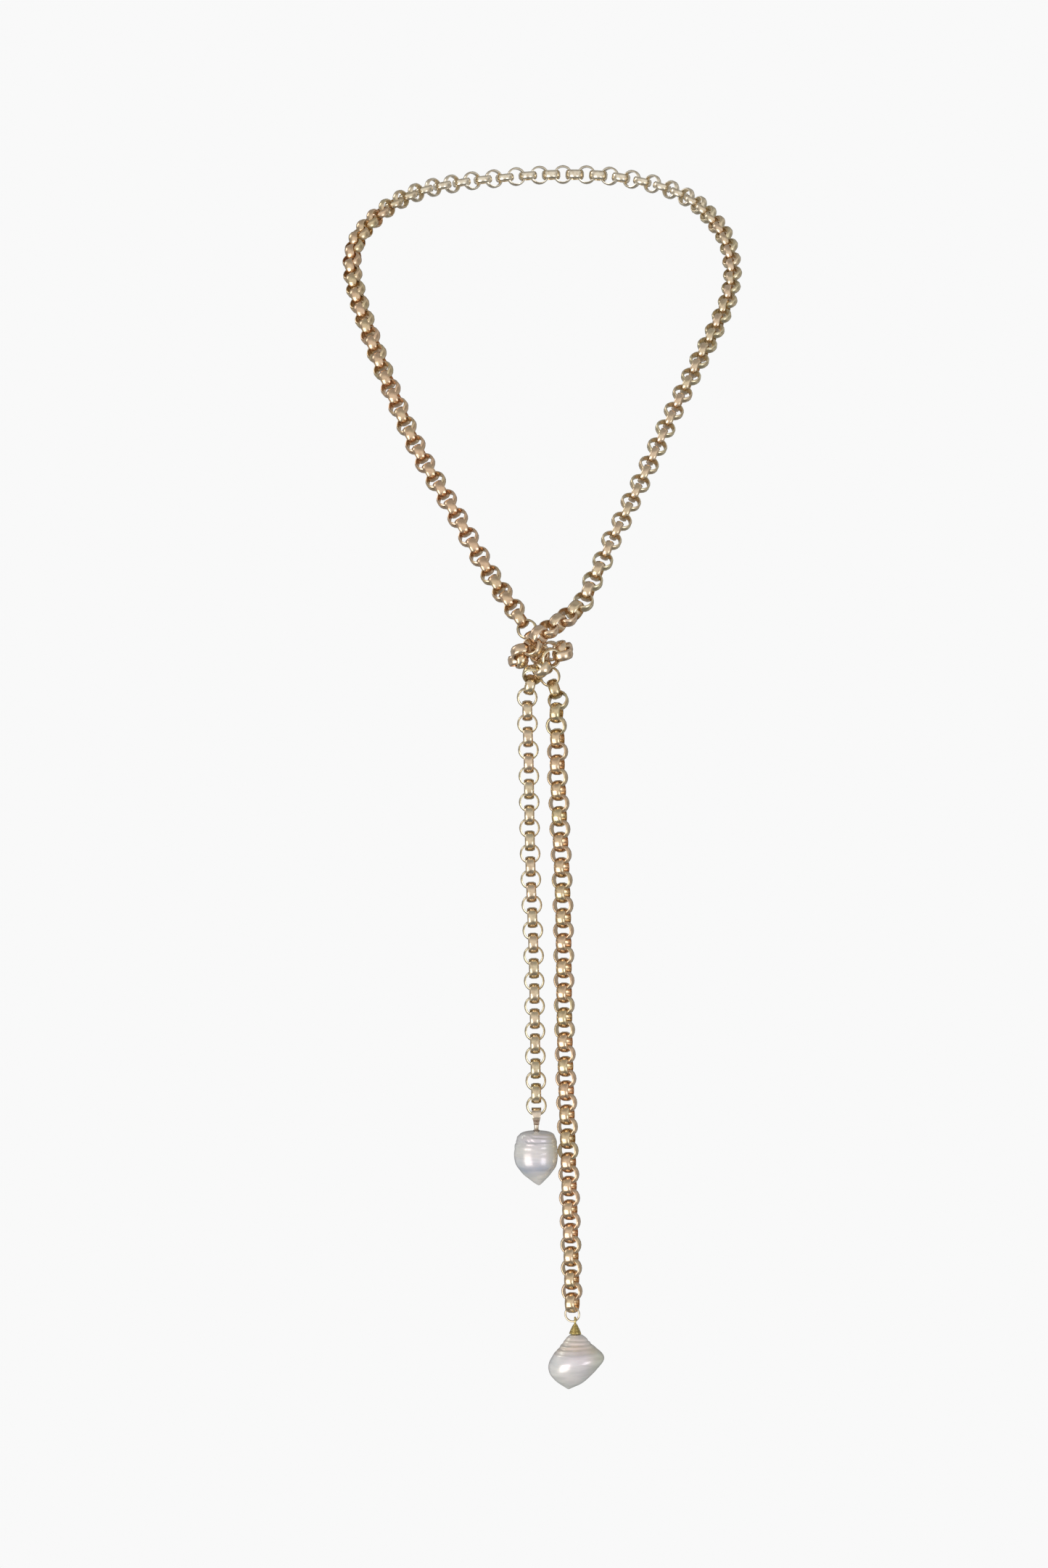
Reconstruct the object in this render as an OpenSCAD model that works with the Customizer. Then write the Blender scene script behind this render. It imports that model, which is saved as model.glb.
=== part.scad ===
// Lariat necklace: one open chain of round flat band links, tied once in a half
// knot at the front, with a baroque pearl hanging from each of its two ends.
// X runs to the viewer's right, Y to the back of the neck, Z up. The origin is
// at the nape, on the middle line of the chain. All lengths are in millimetres.

/* [Chain] */

// Outside diameter of one round link
link_od = 6; // [5.6:0.1:6.6]

// Width of the flat band that each link is bent from
band_w = 2.8; // [2.3:0.1:3.2]

// Thickness of the band at the crown of its sloped outside
band_t = 0.5; // [0.4:0.05:0.6]

// Thickness of the band along its two edges
band_edge_t = 0.25; // [0.15:0.05:0.35]

// Pitch of the links in the loop, as a share of the longest they can reach
loop_fill = 0.93; // [0.88:0.01:0.95]

// Pitch at the free end of the short tail, as a share of the loop's pitch
short_end_fill = 0.93; // [0.9:0.01:1]

// Pitch at the free end of the long tail, as a share of the loop's pitch
long_end_fill = 0.86; // [0.84:0.01:1]

/* [Short pearl] */

// Width of the short tail's barrel shaped pearl
short_pearl_w = 12.8; // [11:0.1:13.2]

// Height of the short tail's pearl, without its stalk
short_pearl_h = 16; // [13:0.1:19]

// Thickness of the strap bail's wall
bail_t = 0.5; // [0.4:0.05:0.6]

// Width of the bail at its top, over the last link
bail_w = 2.8; // [2.2:0.1:2.9]

// Diameter of the stalk under the bail, which enters the pearl
stalk_d = 1.6; // [1.2:0.1:2]

// Bare length of stalk between the bail and the pearl
stalk_len = 2.2; // [1.2:0.1:3]

// Depth of the drilled hole in the short pearl
short_bore_depth = 8; // [6:0.5:10]

/* [Long pearl] */

// Width of the long tail's onion shaped pearl
long_pearl_w = 16.6; // [14:0.1:19]

// Height of the long tail's pearl
long_pearl_h = 16; // [14:0.1:19]

// Thickness of the wire of the end ring and of the pin's eye
wire_d = 0.6; // [0.5:0.05:0.7]

// Inside diameter of the round end ring
end_ring_id = 3.6; // [3.5:0.1:4.2]

// Diameter of the wire wrapped cone at its foot
cone_d = 3.4; // [2.8:0.1:4]

// Height of the wire wrapped cone
cone_h = 2.8; // [2.2:0.1:3.4]

// Depth of the drilled hole in the long pearl
long_bore_depth = 9; // [7:0.5:12]

/* [Fits] */

// Gap between a loop and what it hangs on
hang_play = 0.15; // [0.12:0.01:0.25]

// Gap all round a stalk or a pin in its drilled hole
bore_play = 0.06; // [0.04:0.01:0.1]

/* [Hidden] */

// The half knot: the right strand goes round the straight left strand one and a
// half times. A row is the angle round that strand, counted from the front, the
// way down along it and the distance from it, both in link diameters.
knot_spot = [-10, -150, -161.5];
knot_lean = 26.5;
knot_turns = [
    [-430, 0.92, 1],
    [-360, 0.6, 1.05],
    [-315, 0.43, 0.9],
    [-270, 0.27, 1.08],
    [-225, 0.12, 1],
    [-180, 0, 1],
    [-135, -0.12, 1],
    [-90, -0.27, 1],
    [-45, -0.43, 1],
    [0, -0.6, 1],
    [45, -0.87, 1]
];
function turn_row(t) = concat(
    knot_spot
    + link_od * t[1] * [sin(knot_lean), 0, -cos(knot_lean)]
    + link_od * t[2] * sin(t[0]) * [cos(knot_lean), 0, sin(knot_lean)]
    + link_od * t[2] * cos(t[0]) * [0, -1, 0],
    [0]
);

// Route of the whole chain, one row a chosen point: x, y, z and the twist that
// the links have gained there, in degrees. It starts at the short pearl, climbs
// the short tail, goes round the other strand, up the right side to the nape,
// down the left side, through the knot and down the long tail.
chain_route = concat([
    [-11.2, -150, -292.5, 0],
    [-11.5, -150, -278.5, 0],
    [-12, -150, -249.5, 0],
    [-13, -150, -220.5, 0],
    [-13.5, -150, -190, 0],
    [-13.8, -150.3, -175, 0]
], [for (t = knot_turns) turn_row(t)], [
    [1, -147, -147.5, 12],
    [11, -135, -127.5, 27],
    [20.5, -121.5, -108, 28],
    [29, -107.5, -89.5, 27],
    [37.8, -93, -71.5, 17],
    [43.6, -81.5, -60, 7],
    [48.3, -70, -49, -4],
    [50.3, -58, -39, -15],
    [49.3, -45, -28, -27],
    [45.3, -32, -19, -38],
    [39, -19, -11, -46],
    [29, -9, -5, -50],
    [14.5, -2, -1, -51],
    [0, 0, 0, -51],
    [-12.5, -1, -0.5, -51],
    [-21.5, -3, -1.5, -51],
    [-33.5, -8, -3.5, -51],
    [-45.5, -16.5, -7, -51],
    [-54.5, -26, -12, -51],
    [-62, -36, -19, -51],
    [-67, -47, -27, -51],
    [-68.5, -57, -35.5, -51],
    [-67, -68, -45.5, -51],
    [-63, -81, -58.5, -51],
    [-55.5, -97, -78.5, -52],
    [-46.5, -111, -99, -57],
    [-36, -124, -117.5, -60],
    [-25, -136.5, -137, -58],
    [-16.5, -147.5, -150, -52],
    [-12.5, -149.5, -157, -53],
    [-9, -148.8, -164, -54],
    [-6.5, -148.5, -170, -55],
    [-5.5, -150, -174, -57],
    [-5, -150, -196.5, -51],
    [-3.5, -150, -234, -49],
    [-3, -150, -270.5, -49],
    [-2, -150, -305.5, -50],
    [-1.2, -150, -333, -51],
    [-0.7, -150, -354.1, -52]
]);

// Outline of the short pearl, top to bottom: height down from the top as a share
// of the whole, half width and sideways shift as shares of the full width
short_rows = [
    [0.008, 0.18, 0.01],
    [0.03, 0.31, 0.01],
    [0.055, 0.375, 0.005],
    [0.085, 0.415, 0],
    [0.11, 0.422, 0],
    [0.135, 0.446, 0],
    [0.165, 0.446, 0],
    [0.2, 0.471, 0],
    [0.24, 0.471, -0.005],
    [0.28, 0.487, -0.01],
    [0.34, 0.492, -0.01],
    [0.42, 0.5, -0.01],
    [0.515, 0.497, -0.01],
    [0.605, 0.476, -0.005],
    [0.68, 0.439, 0],
    [0.745, 0.377, 0.01],
    [0.81, 0.296, 0.015],
    [0.875, 0.2, 0.025],
    [0.93, 0.13, 0.035],
    [0.975, 0.065, 0.05],
    [1, 0.01, 0.055]
];

// Outline of the long pearl in the same terms
long_rows = [
    [0, 0.1, 0.015],
    [0.04, 0.145, 0.02],
    [0.06, 0.17, 0.02],
    [0.085, 0.196, 0.02],
    [0.11, 0.206, 0.025],
    [0.145, 0.242, 0.025],
    [0.175, 0.25, 0.03],
    [0.215, 0.305, 0.035],
    [0.25, 0.322, 0.045],
    [0.295, 0.38, 0.05],
    [0.36, 0.435, 0.06],
    [0.435, 0.472, 0.05],
    [0.515, 0.474, 0.01],
    [0.605, 0.44, -0.035],
    [0.67, 0.409, -0.055],
    [0.735, 0.366, -0.075],
    [0.8, 0.307, -0.08],
    [0.855, 0.252, -0.085],
    [0.91, 0.174, -0.085],
    [0.955, 0.085, -0.105],
    [1, 0.01, -0.115]
];

// Depth of each pearl as a share of its width
short_depth = 0.97;
long_depth = 0.92;
pearl_sides = 36;

// Row of the route that lies at the nape
nape_row = 30;

// Length of tail over which the pitch tightens towards the pearls
short_tail_len = 130;
long_tail_len = 190;

// Sides of a link
link_sides = 12;

// How many links ahead each link aims along the route
look_ahead = 1.3;

X = 0;
Y = 1;
Z = 2;
TWIST = 3;

link_r = link_od / 2;
link_bore_r = link_r - band_t;
reach = 2 * sqrt(pow(link_bore_r, 2) - pow(band_w / 2, 2));
loop_pitch = reach * loop_fill;

function unit(v) = v / norm(v);
function place(row) = [row[X], row[Y], row[Z]];

// Smooth curve through the rows: a cubic piece from row to row, whose end
// directions come from the rows on both sides
rows = len(chain_route);
steps = 10;
function row_dir(i) =
    unit(place(chain_route[min(i + 1, rows - 1)]) - place(chain_route[max(i - 1, 0)]));
function span(i) = norm(place(chain_route[i + 1]) - place(chain_route[i]));
function on_curve(i, u) =
    (2 * pow(u, 3) - 3 * pow(u, 2) + 1) * place(chain_route[i])
    + (pow(u, 3) - 2 * pow(u, 2) + u) * span(i) * row_dir(i)
    + (3 * pow(u, 2) - 2 * pow(u, 3)) * place(chain_route[i + 1])
    + (pow(u, 3) - pow(u, 2)) * span(i) * row_dir(i + 1);
track = [
    for (i = [0 : rows - 2], k = [0 : steps - 1]) on_curve(i, k / steps),
    place(chain_route[rows - 1])
];
twists = [
    for (i = [0 : rows - 2], k = [0 : steps - 1])
        chain_route[i][TWIST] + (chain_route[i + 1][TWIST] - chain_route[i][TWIST]) * k / steps,
    chain_route[rows - 1][TWIST]
];
last = len(track) - 1;

// Length along the curve at each of its points
along = [for (i = 0, s = 0; i <= last; s = s + (i < last ? norm(track[i + 1] - track[i]) : 0), i = i + 1) s];
whole_len = along[last];

// Pitch at a length along the curve
function pitch_at(s) = loop_pitch * min(
    1,
    short_end_fill + (1 - short_end_fill) * s / short_tail_len,
    long_end_fill + (1 - long_end_fill) * (whole_len - s) / long_tail_len
);

// Links passed at each point of the curve
passed = [for (i = 0, n = 0; i <= last;
    n = n + (i < last ? (along[i + 1] - along[i]) / pitch_at((along[i] + along[i + 1]) / 2) : 0),
    i = i + 1) n];

// An odd count of links, so that each end's link hangs square to its fitting
link_count = 2 * round(passed[last] / 2) + 1;
nape_link = ceil(passed[nape_row * steps] * (link_count - 1) / passed[last]);

x_at = [for (i = [0 : last]) [along[i], track[i][X]]];
y_at = [for (i = [0 : last]) [along[i], track[i][Y]]];
z_at = [for (i = [0 : last]) [along[i], track[i][Z]]];
twist_at = [for (i = [0 : last]) [along[i], twists[i]]];
function spot(s) = [lookup(s, x_at), lookup(s, y_at), lookup(s, z_at)];
function heading(s) = unit(spot(s + 1) - spot(s - 1));

// The links are strung along the route one after another. Each hangs in the
// plane of the one before it and stands square to it, as linked rings do.
// A row holds a link's centre, axle, length along the route and heading.
SPOT = 0;
AXLE = 1;
LENGTH = 2;
HEADING = 3;
squeeze = passed[last] / (link_count - 1);
function turned(axle, d, twist) = cos(twist) * axle + sin(twist) * cross(d, axle);
function next_link(q) =
    let (
        p = pitch_at(q[LENGTH]) * squeeze,
        aim = spot(q[LENGTH] + look_ahead * p) - q[SPOT],
        d = unit(aim - (aim * q[AXLE]) * q[AXLE]),
        centre = q[SPOT] + p * d,
        s = q[LENGTH] + p,
        due = s + (centre - spot(s)) * heading(s),
        twist = lookup(due, twist_at) - lookup(q[LENGTH], twist_at)
    )
    [centre, unit(turned(cross(d, q[AXLE]), d, twist)), due, d];
links = [
    for (
        k = 0, q = [spot(0), [0, 1, 0], 0, [0, 0, 1]];
        k < link_count;
        q = k < link_count - 1 ? next_link(q) : q, k = k + 1
    ) q
];

// Where the short drop hangs: the middle of the first link's band at its foot
band_mid_r = link_r - band_t / 2;
short_hinge = links[0][SPOT] - [0, 0, band_mid_r];
bail_rise = band_t / 2 + link_bore_r - sqrt(pow(link_bore_r, 2) - pow(bail_w / 2, 2));
bail_r = sqrt(pow(band_w / 2, 2) + pow(bail_rise, 2)) + hang_play;
bail_out_r = bail_r + bail_t;
short_top = bail_out_r + stalk_len;

// The end ring hangs in the last link, in the plane of that link's axle
end_link = links[link_count - 1];
end_dir = end_link[AXLE][X] < 0 ? -1 : 1;
end_side = end_dir * unit([end_link[AXLE][X], end_link[AXLE][Y], 0]);
end_bore_r = max(end_ring_id / 2, band_w / 2 + band_t / 2 + hang_play / 2);
end_sag = sqrt(max(0.01, pow(end_bore_r - hang_play, 2) - pow(band_w / 2, 2))) - band_t / 2;
end_spot = end_link[SPOT] - [0, 0, band_mid_r + end_sag];

// Where the long drop hangs: on the end ring's wire, right of its lowest point
eye_slant = 25;
eye_bore_r = wire_d / 2 / cos(eye_slant) + wire_d / 2 * tan(eye_slant) + hang_play;
eye_out_r = eye_bore_r + wire_d;
end_mid_r = end_bore_r + wire_d / 2;
long_hinge = end_spot + end_mid_r * (sin(eye_slant) * end_side - cos(eye_slant) * [0, 0, 1]);
cone_top = eye_out_r - wire_d / 2;
cone_foot = cone_top + cone_h;
pin_d = wire_d * 1.5;

// Flat sided disc whose rim slopes in towards both of its faces: each pair of
// opposite sides is cut by one long bar
module rim_disc(r, edge_r, wide, slope_w) {
    flat = cos(180 / link_sides);
    intersection_for(j = [0 : link_sides / 2 - 1])
        rotate([90, 0, (j + 0.5) * 360 / link_sides])
            linear_extrude(height = 4 * r, center = true)
                polygon([
                    [-edge_r * flat, -wide / 2],
                    [edge_r * flat, -wide / 2],
                    [r * flat, slope_w - wide / 2],
                    [r * flat, wide / 2 - slope_w],
                    [edge_r * flat, wide / 2],
                    [-edge_r * flat, wide / 2],
                    [-r * flat, wide / 2 - slope_w],
                    [-r * flat, slope_w - wide / 2]
                ]);
}

// One link: a short flat sided tube with a sloped outside
module link() {
    difference() {
        rim_disc(link_r, link_bore_r + band_edge_t, band_w, band_w / 4);
        cylinder(r = link_bore_r / cos(180 / link_sides), h = band_w + 1, center = true, $fn = link_sides);
    }
}

module placed_link(k) {
    p = links[k][SPOT];
    run = links[k][HEADING];
    axle = links[k][AXLE];
    across = cross(axle, run);
    multmatrix([
        [run[X], across[X], axle[X], p[X]],
        [run[Y], across[Y], axle[Y], p[Y]],
        [run[Z], across[Z], axle[Z], p[Z]],
        [0, 0, 0, 1]
    ])
        link();
}

// Links from the short pearl up the right side to the nape
module chain_right() {
    color([0.8, 0.62, 0.36])
        for (k = [0 : nape_link - 1])
            placed_link(k);
}

// Links from the nape down the left side to the long pearl
module chain_left() {
    color([0.8, 0.62, 0.36])
        for (k = [nape_link : link_count - 1])
            placed_link(k);
}

// Round wire ring that joins the long pearl's pin to the last link
module end_ring() {
    color([0.86, 0.7, 0.48])
        translate(end_spot)
            rotate([0, 0, atan2(end_side[Y], end_side[X])])
                rotate([90, 0, 0])
                    rotate_extrude($fn = 64)
                        translate([end_mid_r, 0])
                            circle(d = wire_d, $fn = 20);
}

// Side view of the bail: a round loop that thickens down to its stalk
module bail_side() {
    difference() {
        union() {
            circle(r = bail_out_r, $fn = 64);
            polygon([
                [-bail_out_r * 0.6, -bail_out_r * 0.8],
                [bail_out_r * 0.6, -bail_out_r * 0.8],
                [stalk_d / 2, -bail_out_r - stalk_d * 0.4],
                [-stalk_d / 2, -bail_out_r - stalk_d * 0.4]
            ]);
        }
        circle(r = bail_r, $fn = 64);
    }
}

// Front view of the bail: widest at its top, tapering to the stalk
module bail_front() {
    polygon([
        [-bail_w / 2, bail_out_r + 1],
        [-bail_w / 2, bail_r * 0.6],
        [-bail_w * 0.42, -bail_r * 0.4],
        [-bail_w * 0.3, -bail_out_r * 0.95],
        [-stalk_d * 0.45, -bail_out_r - stalk_d],
        [stalk_d * 0.45, -bail_out_r - stalk_d],
        [bail_w * 0.3, -bail_out_r * 0.95],
        [bail_w * 0.42, -bail_r * 0.4],
        [bail_w / 2, bail_r * 0.6],
        [bail_w / 2, bail_out_r + 1]
    ]);
}

// Strap bail that hangs on the short tail's last link, with its stalk
module bail_short() {
    color([0.84, 0.68, 0.45])
        translate(short_hinge) {
            intersection() {
                rotate([90, 0, 90])
                    linear_extrude(height = bail_w + 2, center = true)
                        bail_side();
                rotate([90, 0, 0])
                    linear_extrude(height = 4 * bail_out_r, center = true)
                        bail_front();
            }
            translate([0, 0, -short_top - short_bore_depth + 0.5])
                cylinder(d = stalk_d * 0.8, h = stalk_len + short_bore_depth - 0.5 + bail_t / 2, $fn = 32);
        }
}

// Solid through the rows of an outline, each row an oval ring of points
module pearl_body(rows, wide, high, depth) {
    last_row = len(rows) - 1;
    sides = pearl_sides;
    points = [
        for (row = rows, k = [0 : sides - 1]) [
            wide * (row[2] + row[1] * cos(360 * k / sides)),
            wide * row[1] * depth * sin(360 * k / sides),
            -high * row[0]
        ]
    ];
    walls = [
        for (i = [0 : last_row - 1], k = [0 : sides - 1], half = [0, 1])
            let (
                a = i * sides + k,
                b = i * sides + (k + 1) % sides
            )
            half == 0 ? [a, b, a + sides] : [b, b + sides, a + sides]
    ];
    polyhedron(
        points = points,
        faces = concat(
            [[for (k = [0 : sides - 1]) sides - 1 - k]],
            walls,
            [[for (k = [0 : sides - 1]) last_row * sides + k]]
        )
    );
}

// Barrel shaped pearl of the short tail, drilled for the bail's stalk
module pearl_short() {
    color([0.85, 0.85, 0.88])
        translate(short_hinge - [0, 0, short_top])
            difference() {
                pearl_body(short_rows, short_pearl_w, short_pearl_h, short_depth);
                translate([0, 0, -short_bore_depth])
                    cylinder(d = stalk_d * 0.8 + 2 * bore_play, h = short_bore_depth + 1, $fn = 32);
            }
}

// Eye, wire wrapped cone and pin of the long pearl, in one piece
module pin_long() {
    color([0.8, 0.66, 0.42])
        translate(long_hinge) {
            rotate([0, 90, 0])
                rotate_extrude($fn = 48)
                    translate([eye_bore_r + wire_d / 2, 0])
                        circle(d = wire_d, $fn = 20);
            translate([0, 0, -cone_foot])
                cylinder(r1 = cone_d / 2, r2 = wire_d * 0.6, h = cone_h, $fn = 48);
            translate([0, 0, -cone_foot - long_bore_depth + 0.5])
                cylinder(d = pin_d, h = long_bore_depth, $fn = 32);
        }
}

// Onion shaped pearl of the long tail, drilled for the pin
module pearl_long() {
    color([0.87, 0.85, 0.86])
        translate(long_hinge - [0, 0, cone_foot + hang_play])
            difference() {
                pearl_body(long_rows, long_pearl_w, long_pearl_h, long_depth);
                translate([0, 0, -long_bore_depth])
                    cylinder(d = pin_d + 2 * bore_play, h = long_bore_depth + 1, $fn = 32);
            }
}

chain_right();
chain_left();
end_ring();
bail_short();
pearl_short();
pin_long();
pearl_long();
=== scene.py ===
"""Lariat necklace: finish of the links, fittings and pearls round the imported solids."""

import math
import random

import bmesh
import bpy
import numpy as np
from mathutils import Matrix, Vector


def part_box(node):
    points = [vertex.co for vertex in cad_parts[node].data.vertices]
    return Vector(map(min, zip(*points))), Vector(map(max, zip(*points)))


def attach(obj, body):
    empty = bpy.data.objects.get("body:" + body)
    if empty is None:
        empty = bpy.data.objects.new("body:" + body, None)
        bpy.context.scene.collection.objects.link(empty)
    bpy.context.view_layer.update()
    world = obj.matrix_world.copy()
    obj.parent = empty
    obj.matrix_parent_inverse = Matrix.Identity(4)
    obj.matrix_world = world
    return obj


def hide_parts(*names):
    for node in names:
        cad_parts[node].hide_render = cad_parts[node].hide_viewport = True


MM = 0.001
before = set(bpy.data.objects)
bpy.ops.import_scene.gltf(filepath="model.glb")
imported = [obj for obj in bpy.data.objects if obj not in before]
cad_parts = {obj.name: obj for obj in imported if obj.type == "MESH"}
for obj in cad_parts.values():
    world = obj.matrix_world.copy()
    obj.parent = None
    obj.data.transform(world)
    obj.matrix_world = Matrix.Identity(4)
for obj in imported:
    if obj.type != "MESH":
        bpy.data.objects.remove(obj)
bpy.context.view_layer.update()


# ---------------------------------------------------------------- helpers
def deselect():
    bpy.ops.object.select_all(action="DESELECT")


def pick(piece):
    """Makes one piece the only selected and active one."""
    deselect()
    piece.select_set(True)
    bpy.context.view_layer.objects.active = piece


def edit(piece, kind="EDGE"):
    """Opens a piece in edit mode with nothing selected."""
    pick(piece)
    bpy.ops.object.mode_set(mode="EDIT")
    bpy.ops.mesh.select_mode(type=kind)
    bpy.ops.mesh.select_all(action="DESELECT")


def leave():
    bpy.ops.object.mode_set(mode="OBJECT")


def select_edges(piece, wanted):
    """Selects in edit mode the edges whose two ends pass the test, and no others."""
    bpy.ops.mesh.select_all(action="DESELECT")
    mesh = bmesh.from_edit_mesh(piece.data)
    for edge in mesh.edges:
        edge.select_set(wanted(edge.verts[0].co, edge.verts[1].co))
    bmesh.update_edit_mesh(piece.data)


def apply_modifier(piece, kind, **values):
    modifier = piece.modifiers.new(kind.title(), kind)
    for key, value in values.items():
        setattr(modifier, key, value)
    pick(piece)
    bpy.ops.object.modifier_apply(modifier=modifier.name)


def settle(piece):
    """Puts a piece's place into its mesh, so that its object sits at the origin."""
    pick(piece)
    bpy.ops.object.transform_apply(location=True, rotation=True, scale=True)


def smooth(piece, degrees):
    """Smooth shading, with edges sharper than this angle left hard."""
    pick(piece)
    bpy.ops.object.shade_smooth_by_angle(angle=math.radians(degrees))


def name_piece(piece, name):
    piece.name = name
    piece.data.name = name
    return piece


def join_as(name, parts):
    deselect()
    for part in parts:
        part.select_set(True)
    bpy.context.view_layer.objects.active = parts[0]
    bpy.ops.object.join()
    return name_piece(parts[0], name)


def ease(value):
    """Smooth step from 0 to 1, held at both ends."""
    value = min(1.0, max(0.0, value))
    return value * value * (3 - 2 * value)


def points_of(node):
    """The corners of a CAD node's mesh, as rows of numbers."""
    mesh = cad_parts[node].data
    flat = np.zeros(len(mesh.vertices) * 3)
    mesh.vertices.foreach_get("co", flat)
    return flat.reshape(-1, 3)


def coat(piece, material):
    piece.data.materials.clear()
    piece.data.materials.append(material)


# ---------------------------------------------------------------- links
LINK_SIDES = 20
CROWN_R = 3.02 * MM
RIM_R = 2.68 * MM
BORE_R = 2.42 * MM
BAND_WIDE = 2.88 * MM
CROWN_WIDE = 1.4 * MM
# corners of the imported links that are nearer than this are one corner
LINK_MERGE = 0.002 * MM


def model_link():
    """One round link of thick band, domed outside and flat inside, its axle along Z."""
    deselect()
    bpy.ops.mesh.primitive_cylinder_add(
        vertices=LINK_SIDES, radius=CROWN_R, depth=BAND_WIDE, end_fill_type="NOTHING"
    )
    link = bpy.context.object
    edit(link)
    select_edges(link, lambda a, b: abs(a.z - b.z) > BAND_WIDE / 2)
    bpy.ops.mesh.subdivide(number_cuts=2)
    # the two new rings of corners, a third of the band apart, spread to the crown's width
    third = BAND_WIDE / 3
    select_edges(link, lambda a, b: max(abs(a.z), abs(b.z)) < third)
    bpy.ops.transform.resize(value=(1, 1, CROWN_WIDE / third))
    # the two outer rings draw in to the rim, and a copy of them to the bore
    select_edges(link, lambda a, b: min(abs(a.z), abs(b.z)) > third)
    share = RIM_R / CROWN_R
    bpy.ops.transform.resize(value=(share, share, 1))
    bpy.ops.mesh.extrude_edges_move()
    share = BORE_R / RIM_R
    bpy.ops.transform.resize(value=(share, share, 1))
    bpy.ops.mesh.bridge_edge_loops()
    bpy.ops.mesh.select_all(action="SELECT")
    bpy.ops.mesh.normals_make_consistent(inside=False)
    leave()
    smooth(link, 82)
    return link


def link_places(node):
    """Centre and axle of every loose link in a chain node, in the chain's order."""
    copy = bmesh.new()
    copy.from_mesh(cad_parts[node].data)
    bmesh.ops.remove_doubles(copy, verts=copy.verts, dist=LINK_MERGE)
    seen = set()
    places = []
    for start in copy.verts:
        if start in seen:
            continue
        island = []
        waiting = [start]
        seen.add(start)
        while waiting:
            corner = waiting.pop()
            island.append(corner.co[:])
            for edge in corner.link_edges:
                other = edge.other_vert(corner)
                if other not in seen:
                    seen.add(other)
                    waiting.append(other)
        island = np.array(island)
        # a ring is thinnest along its axle
        spread = np.cov((island - island.mean(0)).T)
        axle = np.linalg.eigh(spread)[1][:, 0]
        places.append((Vector(island.mean(0)), Vector(axle)))
    copy.free()
    return places


def string_links(name, link, places, tones, painted_lights, slims):
    """Copies of the one link at these places, joined as one piece."""
    copies = []
    for (centre, axle), tone, pale, slim in zip(places, tones, painted_lights, slims):
        copy = link.copy()
        copy.data = link.data.copy()
        bpy.context.collection.objects.link(copy)
        turn = axle.to_track_quat("Z", "Y").to_matrix().to_4x4()
        narrow = Matrix.Diagonal((1, 1, slim, 1))
        copy.data.transform(Matrix.Translation(centre) @ turn @ narrow)
        # each copy carries its tone and its share of painted light
        for mark_name, value in [("link_tone", tone), ("link_painted_light", pale)]:
            mark = copy.data.attributes.new(mark_name, "FLOAT", "POINT")
            mark.data.foreach_set("value", [value] * len(copy.data.vertices))
        copies.append(copy)
    piece = join_as(name, copies)
    return piece


# ---------------------------------------------------------------- materials
class Nodes:
    """A node tree and short ways to add to it."""

    def __init__(self, tree):
        self.tree = tree

    def feed(self, socket, value):
        """Links a socket to another node's output, or gives it a value."""
        if isinstance(value, bpy.types.NodeSocket):
            self.tree.links.new(value, socket)
        else:
            socket.default_value = value

    def add(self, kind, inputs=None, **values):
        made = self.tree.nodes.new("ShaderNode" + kind)
        for key, value in values.items():
            setattr(made, key, value)
        for key, value in (inputs or {}).items():
            self.feed(made.inputs[key], value)
        return made

    def math(self, kind, first, second=None, clamp=False):
        inputs = {0: first} if second is None else {0: first, 1: second}
        return self.add("Math", inputs, operation=kind, use_clamp=clamp).outputs[0]

    def spread(self, value, low, high, to_low, to_high, kind="LINEAR"):
        """A value between two limits, brought between two others and held there."""
        limits = {"From Min": low, "From Max": high, "To Min": to_low, "To Max": to_high}
        made = self.add("MapRange", {"Value": value, **limits}, interpolation_type=kind)
        return made.outputs["Result"]


class Finish(Nodes):
    """A material, its shader and the places of its piece."""

    def __init__(self, name):
        self.material = bpy.data.materials.new(name)
        self.material.use_nodes = True
        super().__init__(self.material.node_tree)
        self.shader = self.tree.nodes["Principled BSDF"]
        self.place = self.add("TexCoord").outputs["Object"]

    def noise(self, scale, detail, where=None):
        inputs = {"Vector": where or self.place, "Scale": scale, "Detail": detail}
        return self.add("TexNoise", inputs).outputs["Fac"]

    def blend(self, share, first, second):
        """Two colours mixed: a Mix node's inputs 0, 6 and 7 are its share and its colours."""
        inputs = {0: share, 6: first, 7: second}
        return self.add("Mix", inputs, data_type="RGBA").outputs[2]

    def set(self, **values):
        for key, value in values.items():
            self.feed(self.shader.inputs[key.replace("_", " ")], value)

    def bump(self, height, strength, distance):
        made = self.add("Bump", {"Height": height, "Strength": strength, "Distance": distance})
        self.set(Normal=made.outputs["Normal"])


def rgb(red, green, blue):
    return (red, green, blue, 1.0)


def link_gold():
    """Polished rose gold that turns from rosy to olive from link to link, with fine wear, and
    turns paler towards cream by each link's share of painted light.
    """
    finish = Finish("link_gold")
    tone = finish.add("Attribute", attribute_name="link_tone").outputs["Fac"]
    patch = finish.spread(finish.noise(420, 3), 0.35, 0.65, -0.25, 0.25)
    rosy = finish.math("ADD", tone, patch, clamp=True)
    colour = finish.blend(rosy, rgb(0.78, 0.67, 0.41), rgb(0.88, 0.63, 0.43))
    # painted light: each link's share turns its gold paler towards a light cream, most on the
    # nape, standing for brighter light falling there and on the right chain
    pale = finish.add("Attribute", attribute_name="link_painted_light").outputs["Fac"]
    colour = finish.blend(pale, colour, rgb(1.0, 0.91, 0.74))
    tarnish = finish.spread(finish.noise(900, 4), 0.48, 0.75, 0.0, 0.55)
    colour = finish.blend(tarnish, colour, rgb(0.5, 0.35, 0.21))
    wear = finish.spread(finish.noise(2600, 3), 0.3, 0.7, 0.12, 0.3)
    finish.set(Base_Color=colour, Metallic=1.0, Roughness=wear)
    finish.bump(finish.noise(3800, 2), 0.12, 0.02 * MM)
    return finish.material


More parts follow.
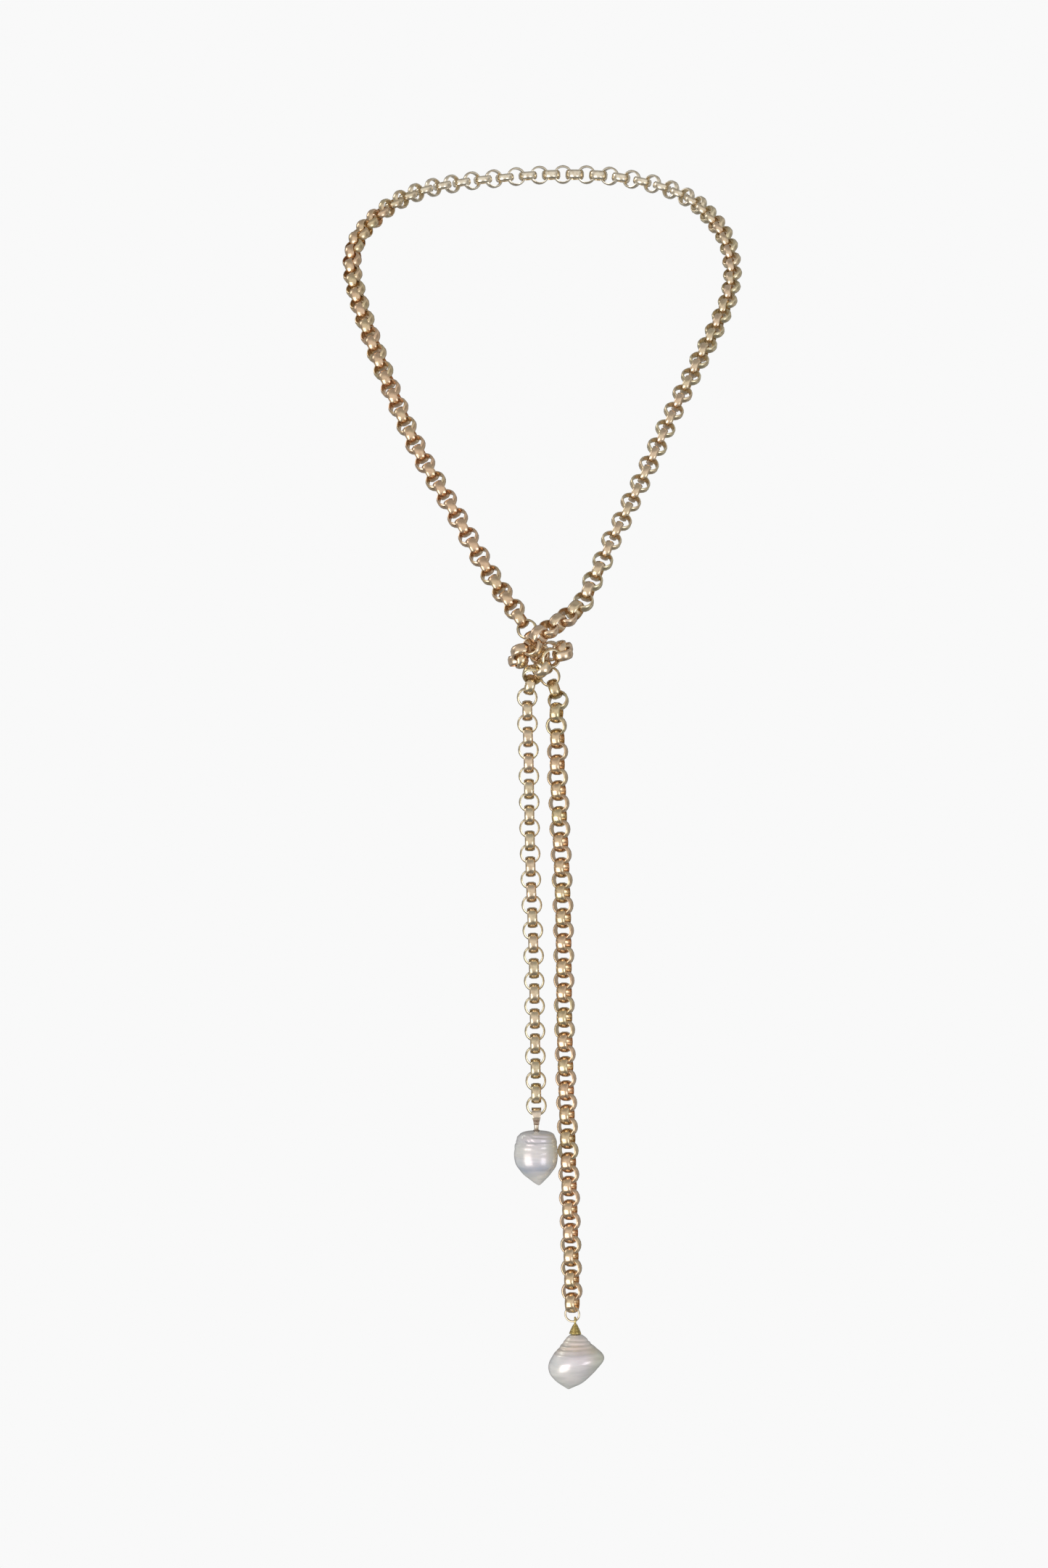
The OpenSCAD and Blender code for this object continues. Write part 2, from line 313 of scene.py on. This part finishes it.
def fitting_gold(name, colour, dark, rough):
    """Brushed gold of a small fitting, a little duller in patches."""
    finish = Finish(name)
    patch = finish.spread(finish.noise(1100, 4), 0.4, 0.7, 0.0, 0.6)
    wear = finish.spread(finish.noise(3000, 3), 0.3, 0.7, rough * 0.7, rough * 1.3)
    finish.set(Base_Color=finish.blend(patch, colour, dark), Metallic=1.0, Roughness=wear)
    finish.bump(finish.noise(5000, 2), 0.15, 0.02 * MM)
    return finish.material


def nacre(name, bottom, top, bands, blush, tip, tip_from, tip_to, seed):
    """Silvery nacre: colour bands from bottom to top, with painted light and painted shade among
    them, pink clouds, streaks, and a yellowed side that on the short pearl is a painted
    reflection of gold.
    """
    finish = Finish(name)
    shift = {"Vector": finish.place, "Location": (seed, 0, 0)}
    shifted = finish.add("Mapping", shift).outputs[0]
    flat = finish.add("Mapping", {"Vector": shifted, "Scale": (0.3, 0.3, 1.6)}).outputs[0]
    parts = finish.add("SeparateXYZ", {0: finish.place})
    wander = finish.spread(finish.noise(260, 2, flat), 0.3, 0.7, -0.05, 0.05)
    # colour bands up the pearl; on the short pearl some are painted light and painted shade
    rise = finish.spread(parts.outputs["Z"], bottom, top, 0.0, 1.0)
    ramp = finish.add("ValToRGB", {"Fac": finish.math("ADD", rise, wander, clamp=True)})
    stops = ramp.color_ramp.elements
    while len(stops) < len(bands):
        stops.new(0.5)
    for stop, (at, colour) in zip(stops, bands):
        stop.position = at
        stop.color = rgb(*colour)
    colour = ramp.outputs["Color"]
    cloudy = finish.spread(finish.noise(150, 3, shifted), 0.4, 0.66, 0.0, 0.45)
    colour = finish.blend(cloudy, colour, blush)
    streaks = finish.spread(finish.noise(700, 3, flat), 0.42, 0.65, 0.0, 0.32)
    colour = finish.blend(streaks, colour, rgb(0.5, 0.5, 0.53))
    # the right side turns yellow: on the short pearl a painted reflection of gold
    tipped = finish.spread(parts.outputs["X"], tip_from, tip_to, 0.0, 0.6)
    colour = finish.blend(tipped, colour, tip)
    finish.set(
        Base_Color=colour,
        Roughness=0.26,
        Metallic=0.16,
        Specular_IOR_Level=0.8,
        Coat_Weight=1.0,
        Coat_Roughness=0.2,
        Coat_IOR=1.7,
        Subsurface_Weight=0.1,
        Subsurface_Radius=(1.0, 0.8, 0.7),
        Subsurface_Scale=0.6 * MM,
        Thin_Film_Thickness=420.0,
        Thin_Film_IOR=1.5,
    )
    finish.bump(finish.noise(600, 3, flat), 0.16, 0.1 * MM)
    return finish.material


# ---------------------------------------------------------------- fittings
# the end ring's butt seam: its place round the ring and half its length, in degrees, and how
# much of the wire's thickness is lost in its middle
SEAM_AT = 140
SEAM_HALF = 4
SEAM_DEEP = 0.22

# corners of a CAD node that are nearer than this are one corner
NODE_MERGE = 0.003 * MM
# edges of the bail and pin that are sharper than this angle are rounded over
BEVEL_FROM = 38

COLLAR_R = 0.72 * MM
COLLAR_WIRE_R = 0.24 * MM
COLLAR_Z = -299.75 * MM

CONE_FOOT_R = 1.62 * MM
CONE_NECK_R = 0.42 * MM
CONE_HIGH = 2.7 * MM
# over 1, the cone keeps its width near the foot
CONE_SWELL = 1.25
WRAP_R = 0.19 * MM
WRAP_TURNS = 7
WRAP_STEPS = 22


def model_end_ring(material):
    """Round wire ring whose two ends meet in a fine butt seam."""
    corners = points_of("end_ring")
    centre = (corners.max(0) + corners.min(0)) / 2
    flat = corners - centre
    side = np.linalg.eigh(np.cov(flat.T))[1][:, 0]
    reach = np.linalg.norm(flat - np.outer(flat @ side, side), axis=1)
    ring_r = (reach.max() + reach.min()) / 2
    deselect()
    bpy.ops.mesh.primitive_torus_add(
        major_segments=64,
        minor_segments=14,
        major_radius=ring_r,
        minor_radius=(reach.max() - reach.min()) / 2,
    )
    ring = bpy.context.object
    # the wire narrows where its cut ends meet, up on the ring's left
    for corner in ring.data.vertices:
        angle = math.degrees(math.atan2(corner.co.y, corner.co.x))
        near = max(0.0, 1 - abs(angle - SEAM_AT) / SEAM_HALF)
        if near > 0:
            middle = Vector((corner.co.x, corner.co.y, 0)).normalized() * ring_r
            corner.co = middle + (corner.co - middle) * (1 - SEAM_DEEP * near)
    turn = Vector(side).to_track_quat("Z", "Y").to_matrix().to_4x4()
    ring.data.transform(Matrix.Translation(Vector(centre)) @ turn)
    smooth(ring, 60)
    coat(ring, material)
    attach(ring, "chain")
    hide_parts("end_ring")
    return name_piece(ring, "end_ring_wire")


def copy_node(node):
    """A CAD node's own shape as a loose piece, open in edit mode with its corners merged."""
    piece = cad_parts[node].copy()
    piece.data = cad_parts[node].data.copy()
    piece.parent = None
    for key in list(piece.keys()):
        del piece[key]
    bpy.context.collection.objects.link(piece)
    piece.hide_render = piece.hide_viewport = False
    edit(piece, "VERT")
    bpy.ops.mesh.select_all(action="SELECT")
    bpy.ops.mesh.remove_doubles(threshold=NODE_MERGE)
    return piece


def softened_copy(node, name, width):
    """A CAD node's own shape with its hard edges rounded over."""
    piece = copy_node(node)
    bpy.ops.mesh.dissolve_limited(angle_limit=math.radians(1))
    leave()
    apply_modifier(
        piece,
        "BEVEL",
        width=width,
        segments=2,
        limit_method="ANGLE",
        angle_limit=math.radians(BEVEL_FROM),
    )
    smooth(piece, 40)
    return name_piece(piece, name)


def model_collar(material):
    """Small bead ring where the stalk enters the short pearl, dark with painted shade at the
    stalk's foot.
    """
    low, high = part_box("bail_short")
    middle = (low + high) / 2
    deselect()
    bpy.ops.mesh.primitive_torus_add(
        major_segments=32,
        minor_segments=10,
        major_radius=COLLAR_R,
        minor_radius=COLLAR_WIRE_R,
    )
    collar = bpy.context.object
    collar.data.transform(Matrix.Translation(Vector((middle[0], middle[1], COLLAR_Z))))
    smooth(collar, 60)
    coat(collar, material)
    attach(collar, "short_drop")
    return name_piece(collar, "stalk_collar")


def model_wraps(material):
    """Fine wire wound round the cone from its foot to its neck."""
    low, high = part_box("pin_long")
    axis_at = Vector(((low[0] + high[0]) / 2, (low[1] + high[1]) / 2, 0))
    corners = points_of("pin_long")
    width = np.hypot(corners[:, 0] - axis_at.x, corners[:, 1] - axis_at.y)
    foot_z = corners[width > 0.97 * CONE_FOOT_R, 2].max()
    deselect()
    bpy.ops.mesh.primitive_circle_add(
        vertices=8, radius=WRAP_R, fill_type="NOTHING", rotation=(math.radians(90), 0, 0)
    )
    wraps = bpy.context.object
    settle(wraps)
    for corner in wraps.data.vertices:
        corner.co.x += CONE_FOOT_R
    apply_modifier(
        wraps,
        "SCREW",
        axis="Z",
        angle=math.radians(360),
        screw_offset=CONE_HIGH / WRAP_TURNS,
        iterations=WRAP_TURNS,
        steps=WRAP_STEPS,
        render_steps=WRAP_STEPS,
        use_merge_vertices=False,
    )
    # the straight coil draws in towards the neck, as the cone does
    for corner in wraps.data.vertices:
        out = corner.co.xy.length
        rise = min(1.0, max(0.0, corner.co.z / CONE_HIGH)) ** CONE_SWELL
        drawn_in = out - (CONE_FOOT_R - CONE_NECK_R) * rise
        corner.co.xy = corner.co.xy * (drawn_in / out)
    edit(wraps)
    bpy.ops.mesh.select_non_manifold()
    bpy.ops.mesh.edge_face_add()
    bpy.ops.mesh.select_all(action="SELECT")
    bpy.ops.mesh.normals_make_consistent(inside=False)
    leave()
    wraps.data.transform(Matrix.Translation(axis_at + Vector((0, 0, foot_z))))
    smooth(wraps, 70)
    coat(wraps, material)
    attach(wraps, "long_drop")
    return name_piece(wraps, "cone_wraps")


# ---------------------------------------------------------------- pearls
SHORT_TOP = -300.0 * MM
SHORT_BOTTOM = -316.2 * MM
LONG_TOP = -359.0 * MM
LONG_BOTTOM = -374.5 * MM

# each growth fold, in millimetres and degrees: its depth below the pearl's top, how deep and how
# wide it is, how far it leans over to one side, the bearing and half width of the arc that it
# fills, and how far its left end lifts
SHORT_FOLDS = [
    (1.5, 0.1, 0.3, 0.45, 30, 66, 0.9),
    (2.8, 0.22, 0.36, 0.1, 15, 72, 2.1),
    (3.5, 0.1, 0.3, 0.5, 50, 80, 1.2),
    (4.9, 0.07, 0.5, -0.3, 30, 180, 0.0),
    (6.3, 0.04, 0.7, 0.5, -40, 120, 0.0),
    (11.3, 0.13, 1.1, 0.35, 0, 180, 0.0),
    (2.2, 0.14, 0.4, 0.4, 190, 110, 0.9),
    (3.5, 0.12, 0.4, -0.3, 220, 100, 0.5),
]
LONG_FOLDS = [
    (1.5, 0.1, 0.34, 0.2, 20, 180, 0.0),
    (2.6, 0.13, 0.36, -0.2, 0, 110, 0.5),
    (3.6, 0.12, 0.4, -0.3, -20, 120, 0.4),
    (4.8, 0.12, 0.42, -0.25, -30, 90, 0.5),
    (3.2, 0.1, 0.4, 0.3, 180, 100, 0.6),
]
# a fold of this half width goes all round and doesn't lift
ALL_ROUND = 180
# degrees over which a fold fades out at its ends, and over which its left end lifts
FOLD_FADE = 30
# share of a fold's half width at which its left end starts to lift
LIFT_FROM = 0.55
# bearing from which folds lean
LEAN_FROM = 20
# the lip under a fold: how many of its widths lower it is, and its share of the depth
LIP_BELOW = 1.5
LIP_HIGH = 0.7


def grow_folds(piece, folds, top):
    """Presses growth folds into a pearl: each is a groove with a raised lip under it."""
    low, high = np.array(piece.bound_box).min(0), np.array(piece.bound_box).max(0)
    middle = (low + high) / 2
    for corner, normal in [(c, c.normal.copy()) for c in piece.data.vertices]:
        bearing = math.degrees(math.atan2(corner.co.x - middle[0], middle[1] - corner.co.y))
        below = (top - corner.co.z) / MM
        shift = 0.0
        for at, deep, wide, lean, centre, half, lift in folds:
            line = at + lean * math.sin(math.radians(bearing - LEAN_FROM))
            fill = 1.0
            if half < ALL_ROUND:
                away = abs((bearing - centre + 180) % 360 - 180)
                fill = ease((half - away) / FOLD_FADE)
                line -= lift * ease((centre - bearing - half * LIFT_FROM) / FOLD_FADE)
            step = (below - line) / wide
            lip = LIP_HIGH * math.exp(-((step - LIP_BELOW) ** 2))
            shift += deep * fill * (lip - math.exp(-(step**2)))
        corner.co += normal * shift * MM


def model_pearl(node, name, folds, top):
    """A CAD pearl's own shape, made finer, with growth folds."""
    pearl = copy_node(node)
    bpy.ops.mesh.tris_convert_to_quads(
        face_threshold=math.radians(60), shape_threshold=math.radians(80)
    )
    leave()
    apply_modifier(pearl, "SUBSURF", levels=2, render_levels=2)
    grow_folds(pearl, folds, top)
    smooth(pearl, 60)
    return name_piece(pearl, name)


# ---------------------------------------------------------------- build
# the knot's first link and the right side's, counted from the short pearl
KNOT_START, KNOT_END = 37, 52
# the long tail's first link, counted from the nape
LONG_TAIL_START = 68
# more links than a strand has
ALL = 99
# share of the band's width that is left where the photograph's band looks narrow
SLIM = 0.76
# number of links over which the full band turns slim
SLIM_FADE = 6
# how far a link's tone strays from its strand's
TONE_STRAY = 0.4
# how far painted light turns the gold paler at the nape, standing for brighter light there,
# where along Y that painted light starts and over what length, both in millimetres
NAPE_PAINTED_LIGHT = 1.0
NAPE_FROM = -38
NAPE_FADE = 30

link_material = link_gold()
ring_material = fitting_gold("ring_gold", rgb(0.78, 0.68, 0.52), rgb(0.5, 0.4, 0.28), 0.2)
bail_material = fitting_gold("bail_gold", rgb(0.93, 0.8, 0.66), rgb(0.62, 0.48, 0.36), 0.2)
# painted shade: the collar's dark brown stands for the shade at the stalk's foot
collar_shade_material = fitting_gold("collar_painted_shade", rgb(0.4, 0.34, 0.28), rgb(0.2, 0.17, 0.14), 0.3)
cone_material = fitting_gold("cone_gold", rgb(0.72, 0.58, 0.24), rgb(0.36, 0.27, 0.09), 0.24)
silver_nacre = nacre(
    "silver_nacre",
    bottom=SHORT_BOTTOM,
    top=SHORT_TOP,
    # the light bands at the bottom are painted light, standing for light the dark floor doesn't
    # give; the dark blue-grey band at 0.28 is painted shade in the waist's wide groove and under
    # the highlights
    bands=[
        (0.0, (0.84, 0.83, 0.78)),
        (0.19, (0.9, 0.89, 0.84)),
        (0.28, (0.5, 0.55, 0.67)),
        (0.42, (0.66, 0.69, 0.78)),
        (0.62, (0.84, 0.83, 0.81)),
        (0.76, (0.8, 0.79, 0.79)),
        (0.84, (0.7, 0.69, 0.74)),
        (1.0, (0.78, 0.74, 0.75)),
    ],
    blush=rgb(0.88, 0.79, 0.81),
    # painted reflection: the pearl's right side turns yellow as gold mirrored in the nacre
    tip=rgb(0.84, 0.74, 0.48),
    tip_from=-8.5 * MM,
    tip_to=-4.5 * MM,
    seed=0.0,
)
pink_nacre = nacre(
    "pink_nacre",
    bottom=LONG_BOTTOM,
    top=LONG_TOP,
    bands=[
        (0.0, (0.84, 0.84, 0.78)),
        (0.25, (0.9, 0.89, 0.86)),
        (0.5, (0.86, 0.86, 0.88)),
        (0.66, (0.86, 0.82, 0.85)),
        (0.74, (0.86, 0.73, 0.64)),
        (0.86, (0.86, 0.76, 0.68)),
        (1.0, (0.82, 0.78, 0.74)),
    ],
    blush=rgb(0.9, 0.8, 0.84),
    tip=rgb(0.72, 0.69, 0.4),
    tip_from=3 * MM,
    tip_to=9.5 * MM,
    seed=0.4,
)

draw = random.Random(7)
link = model_link()
right = link_places("chain_right")
left = link_places("chain_left")
# each strand: its links' places, how rosy its first and last links are, how much rosier every
# second link is, how much painted light turns its gold paler, how many links from its start and
# its end still have the tails' full width of band
strands = [
    ("links_short_tail", "chain_right", right[:KNOT_START], 0.2, 0.4, 0.6, 0.3, ALL, 0),
    ("links_knot", "chain_right", right[KNOT_START:KNOT_END], 0.85, 0.8, 0.0, 0.2, ALL, 0),
    ("links_right_side", "chain_right", right[KNOT_END:], 0.45, 0.4, 0.5, 0.25, 1, 0),
    ("links_left_side", "chain_left", left[:LONG_TAIL_START], 0.5, 1.0, 0.2, 0.0, 0, 42),
    ("links_long_tail", "chain_left", left[LONG_TAIL_START:], 0.4, 0.85, 0.0, 0.0, 0, ALL),
]
for name, node, places, first, last, second_rosier, strand_painted_light, wide_start, wide_end in strands:
    end = len(places) - 1
    tones = [
        first
        + (last - first) * i / end
        + second_rosier * (i % 2 - 0.5)
        + draw.uniform(-TONE_STRAY, TONE_STRAY)
        for i in range(end + 1)
    ]
    full = [
        max(ease(1 + (wide_start - i) / SLIM_FADE), ease(1 + (wide_end - end + i) / SLIM_FADE))
        for i in range(end + 1)
    ]
    slims = [SLIM + (1 - SLIM) * share for share in full]
    # painted light grows towards the nape
    at_nape = [ease((centre.y / MM - NAPE_FROM) / NAPE_FADE) for centre, _ in places]
    painted_lights = [strand_painted_light + (NAPE_PAINTED_LIGHT - strand_painted_light) * near for near in at_nape]
    piece = string_links(name, link, places, tones, painted_lights, slims)
    coat(piece, link_material)
    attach(piece, "chain")
    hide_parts(node)
bpy.data.objects.remove(link)

model_end_ring(ring_material)

bail = softened_copy("bail_short", "bail_strap", 0.08 * MM)
coat(bail, bail_material)
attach(bail, "short_drop")
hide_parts("bail_short")

pin = softened_copy("pin_long", "pin_eye_and_cone", 0.04 * MM)
coat(pin, cone_material)
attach(pin, "long_drop")
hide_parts("pin_long")

model_wraps(cone_material)
model_collar(collar_shade_material)

pearls = [
    ("pearl_short", "short_pearl_nacre", "short_drop", silver_nacre, "pearl_silver"),
    ("pearl_long", "long_pearl_nacre", "long_drop", pink_nacre, "pearl_pink"),
]
shapes = [(SHORT_FOLDS, SHORT_TOP), (LONG_FOLDS, LONG_TOP)]
for (node, name, body, material, slot), (folds, top) in zip(pearls, shapes):
    pearl = model_pearl(node, name, folds, top)
    coat(pearl, material)
    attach(pearl, body)
    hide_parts(node)

# ---------------------------------------------------------------- stage
# what the camera looks at: the middle of the photograph's frame, in the tails' plane
TAILS = Vector((-14.8 * MM, -150 * MM, -199.1 * MM))
CAMERA_AWAY = 1.2
SENSOR_WIDE = 36.0
LENS = 94.86
FLOOR_R = 9.0
FLOOR_Z = -0.46
PALE = 0.947
FRONT_GLOW = 0.75
FLOOR_GLOW = 0.2
ROOF_GLOW = 0.36
SIDE_SHARE = 0.4
BACK_GLOW = 0.28


def make_floor():
    """Wide pale floor under the pearls, out of the photograph's frame."""
    deselect()
    bpy.ops.mesh.primitive_circle_add(
        vertices=96, radius=FLOOR_R, fill_type="NGON", location=(0, 0, FLOOR_Z)
    )
    floor = name_piece(bpy.context.object, "floor")
    settle(floor)
    finish = Finish("pale_floor")
    finish.set(Base_Color=rgb(0, 0, 0), Roughness=1.0, Specular_IOR_Level=0.0)
    finish.set(Emission_Color=rgb(PALE, PALE, PALE), Emission_Strength=1.0)
    coat(floor, finish.material)
    floor.visible_glossy = False
    floor.visible_diffuse = False
    floor.visible_shadow = False


def make_surround():
    """Pale surround: even to the camera, and in its light bright in front at the necklace's
    height and dimmer above, below, beside and behind.
    """
    world = bpy.data.worlds.new("surround")
    world.use_nodes = True
    world.node_tree.nodes.clear()
    nodes = Nodes(world.node_tree)
    # each part of the direction runs from -1 to 1
    parts = nodes.add("SeparateXYZ", {0: nodes.add("TexCoord").outputs["Generated"]}).outputs

    def fade(value, start, end, at_start, at_end):
        return nodes.spread(value, start, end, at_start, at_end, "SMOOTHSTEP")

    level = nodes.math(
        "MINIMUM",
        fade(parts["Z"], -0.85, -0.3, FLOOR_GLOW, FRONT_GLOW),
        fade(parts["Z"], 0.35, 0.9, FRONT_GLOW, ROOF_GLOW),
    )
    beside = fade(nodes.math("ABSOLUTE", parts["X"]), 0.75, 1.0, 1.0, SIDE_SHARE)
    behind = fade(parts["Y"], 0.1, 0.95, 0.0, 1.0)
    ahead = nodes.math("MULTIPLY", level, beside)
    glow = nodes.add("Mix", {"Factor": behind, "A": ahead, "B": BACK_GLOW}).outputs["Result"]
    lit = nodes.add("Background", {"Color": rgb(1.0, 0.98, 0.95), "Strength": glow})
    seen = nodes.add("Background", {"Color": rgb(PALE, PALE, PALE)})
    to_camera = nodes.add("LightPath").outputs["Is Camera Ray"]
    mix = nodes.add("MixShader", {0: to_camera, 1: lit.outputs[0], 2: seen.outputs[0]})
    nodes.add("OutputWorld", {0: mix.outputs[0]})
    bpy.context.scene.world = world


def soft_box(name, azimuth, height, distance, wide, high, radiance, colour):
    """Area light that faces the tails from a direction, counted from the camera's side.

    Its height over the tails' middle, its distance and its two sides are in metres.
    """
    light = bpy.data.lights.new(name, "AREA")
    light.shape = "RECTANGLE"
    light.size = wide
    light.size_y = high
    light.energy = radiance * math.pi * wide * high
    light.color = colour
    lamp = bpy.data.objects.new(name, light)
    bpy.context.scene.collection.objects.link(lamp)
    turn = math.radians(azimuth)
    away = Vector((math.sin(turn) * distance, -math.cos(turn) * distance, height))
    lamp.location = TAILS + away
    lamp.visible_camera = False
    lamp.rotation_euler = (TAILS - lamp.location).to_track_quat("-Z", "Y").to_euler()


make_floor()
make_surround()
soft_box("left_box", -44, -0.62, 1.3, 1.0, 1.1, 2.3, (1.0, 0.99, 0.97))
soft_box("right_box", 40, -0.55, 1.3, 0.6, 0.6, 2.0, (0.84, 0.92, 1.0))
soft_box("shoulder_box", -110, 0.8, 1.2, 0.5, 0.5, 1.7, (1.0, 0.97, 0.97))

camera = bpy.data.cameras.new("camera")
camera.sensor_width = SENSOR_WIDE
camera.lens = LENS
camera.clip_start = 0.01
camera.clip_end = 50.0
view_from = bpy.data.objects.new("camera", camera)
bpy.context.scene.collection.objects.link(view_from)
view_from.location = TAILS + Vector((0, -CAMERA_AWAY, 0))
view_from.rotation_euler = (math.radians(90), 0, 0)
bpy.context.scene.camera = view_from
bpy.context.scene.view_settings.view_transform = "Standard"
